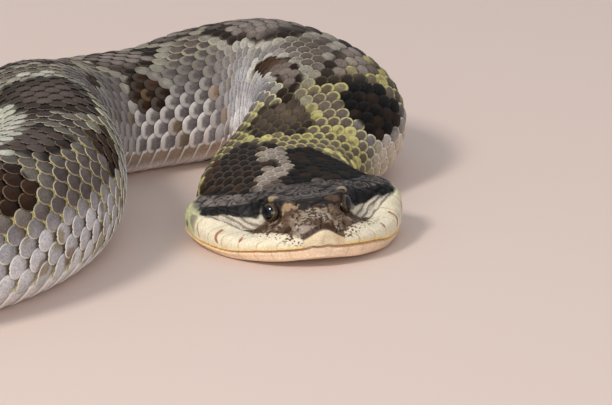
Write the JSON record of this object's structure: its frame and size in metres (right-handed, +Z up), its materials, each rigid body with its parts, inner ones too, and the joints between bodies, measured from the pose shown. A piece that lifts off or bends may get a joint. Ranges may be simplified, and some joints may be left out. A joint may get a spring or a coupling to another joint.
{
  "type": "eastern hognose snake",
  "caption": "Coiled snake lying flat on its belly with a broad flattened head, upturned snout, keeled scales and a blotched back; a still life-size model.",
  "frame": {"origin": "middle of the coil's box, at the level of the belly on the floor", "axes": "+Z up; -Y the side the head faces, with the snout turned about 14 degrees towards +X; +X to the snake's left"},
  "size_m": [0.1588, 0.1516, 0.0248],
  "materials": {
    "head_skin": "satin scales",
    "jaw": "satin scales",
    "body_skin": "keeled scales",
    "eye": "wet gloss"
  },
  "bodies": {
    "root": {"head": "head_skin", "lower_jaw": "jaw", "eye_left": "eye", "eye_right": "eye", "neck_1": "body_skin", "neck_2": "body_skin", "trunk_1": "body_skin", "trunk_2": "body_skin", "trunk_3": "body_skin", "trunk_4": "body_skin", "trunk_5": "body_skin", "trunk_6": "body_skin", "trunk_7": "body_skin", "trunk_8": "body_skin", "trunk_9": "body_skin", "trunk_10": "body_skin", "trunk_11": "body_skin", "trunk_12": "body_skin", "trunk_13": "body_skin", "tail_1": "body_skin", "tail_2": "body_skin", "tail_3": "body_skin", "tail_4": "body_skin"}
  },
  "joints": []
}
